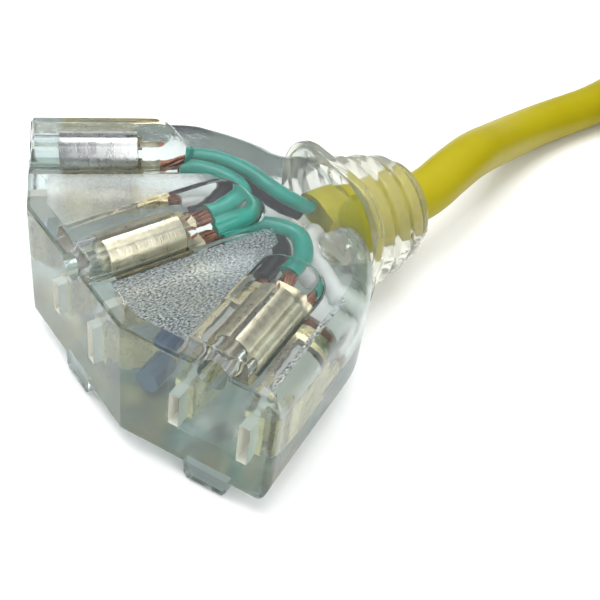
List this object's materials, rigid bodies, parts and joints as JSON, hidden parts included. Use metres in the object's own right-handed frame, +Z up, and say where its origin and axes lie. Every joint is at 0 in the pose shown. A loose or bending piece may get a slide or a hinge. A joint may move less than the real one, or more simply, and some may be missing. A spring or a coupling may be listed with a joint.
{
  "type": "extension cord",
  "caption": "Heavy round extension cord with a clear fan-shaped block of grounded outlets, ribbed strain relief, tied hank and grounded plug.",
  "frame": {"origin": "on the floor below the middle of the block's box, without the free cord", "axes": "+Z up, the centre outlet faces -Y, the cord leaves towards +Y"},
  "size_m": [0.1383, 0.383, 0.0731],
  "materials": {
    "clear_housing": "clear flexible moulding, faintly grey-green, satin",
    "clear_relief": "clear flexible moulding, slightly frosted",
    "clear_carrier": "clear hard moulding, glossy",
    "nickel_barrel": "plated rolled strip, bright",
    "brass_contact": "stamped strip, bright",
    "copper_strand": "bare stranded copper, dull",
    "green_wire": "smooth insulation",
    "black_wire": "smooth insulation",
    "white_wire": "smooth insulation",
    "lamp_glass": "small glass lamp, warm",
    "resistor_body": "coated ceramic",
    "tinned_lead": "tinned wire",
    "strap": "woven hook-and-loop strap",
    "plug_bridge": "hard insert",
    "plug_prong": "solid strip, bright",
    "plug_moulding": "moulded over the cord, satin",
    "cord_jacket": "smooth extruded jacket, satin"
  },
  "bodies": {
    "root": {"coil_tie": "strap", "contact_carrier_centre": "clear_carrier", "contact_carrier_left": "clear_carrier", "contact_carrier_right": "clear_carrier", "cord_coil": "cord_jacket", "cord_run": "cord_jacket", "cord_tail": "cord_jacket", "ground_contact_centre": "nickel_barrel", "ground_contact_left": "nickel_barrel", "ground_contact_right": "nickel_barrel", "ground_jumper_left": "green_wire", "ground_jumper_right": "green_wire", "ground_lead": "green_wire", "ground_strands_centre_a": "copper_strand", "ground_strands_centre_b": "copper_strand", "ground_strands_left_a": "copper_strand", "ground_strands_left_b": "copper_strand", "ground_strands_right_a": "copper_strand", "housing": "clear_housing", "indicator_lamp": "lamp_glass", "jacket_end": "cord_jacket", "lamp_lead_line": "tinned_lead", "lamp_lead_resistor": "tinned_lead", "lamp_resistor": "resistor_body", "line_contact_centre": "brass_contact", "line_contact_left": "brass_contact", "line_contact_right": "brass_contact", "line_jumper_left": "black_wire", "line_jumper_right": "black_wire", "line_lead": "black_wire", "line_strands_centre_a": "copper_strand", "line_strands_centre_b": "copper_strand", "line_strands_left_a": "copper_strand", "line_strands_left_b": "copper_strand", "line_strands_right_a": "copper_strand", "neutral_contact_centre": "brass_contact", "neutral_contact_left": "brass_contact", "neutral_contact_right": "brass_contact", "neutral_jumper_left": "white_wire", "neutral_jumper_right": "white_wire", "neutral_lead": "white_wire", "neutral_strands_centre_a": "copper_strand", "neutral_strands_centre_b": "copper_strand", "neutral_strands_left_b": "copper_strand", "neutral_strands_right_a": "copper_strand", "neutral_strands_right_b": "copper_strand", "plug_body": "plug_moulding", "plug_bridge": "plug_bridge", "plug_ground_pin": "plug_prong", "plug_line_blade": "plug_prong", "plug_neutral_blade": "plug_prong", "plug_strain_relief": "plug_moulding", "strain_relief": "clear_relief"}
  },
  "joints": []
}
